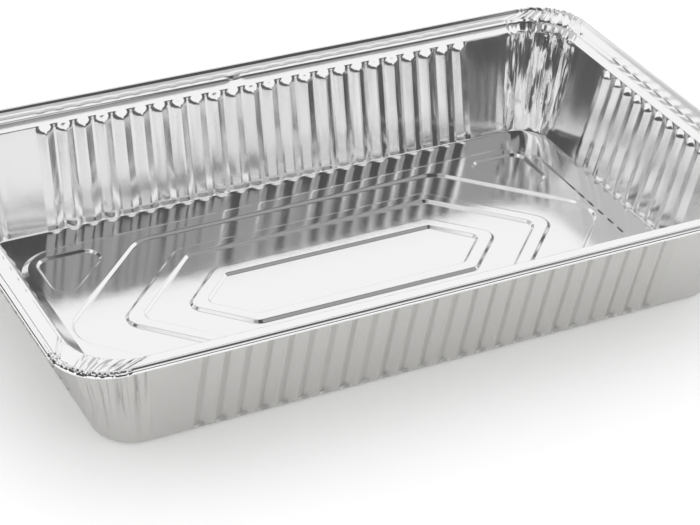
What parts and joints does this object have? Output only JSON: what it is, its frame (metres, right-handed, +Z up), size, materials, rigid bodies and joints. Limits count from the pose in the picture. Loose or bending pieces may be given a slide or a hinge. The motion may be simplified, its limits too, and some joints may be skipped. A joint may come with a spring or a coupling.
{
  "type": "aluminium foil tray",
  "caption": "Deep full-size steam-table tray pressed from foil sheet, with fluted leaning walls, a rolled rim and a floor embossed with long hexagons and corner triangles.",
  "frame": {"origin": "centre of the underside, on the plane that the tray rests on", "axes": "+X along the length, +Y across the width, +Z up, out of the open top"},
  "size_m": [0.527, 0.3254, 0.0857],
  "materials": {
    "foil": "bright rolled foil, satin on the outside"
  },
  "bodies": {
    "root": {"foil_tray": "foil"}
  },
  "joints": []
}
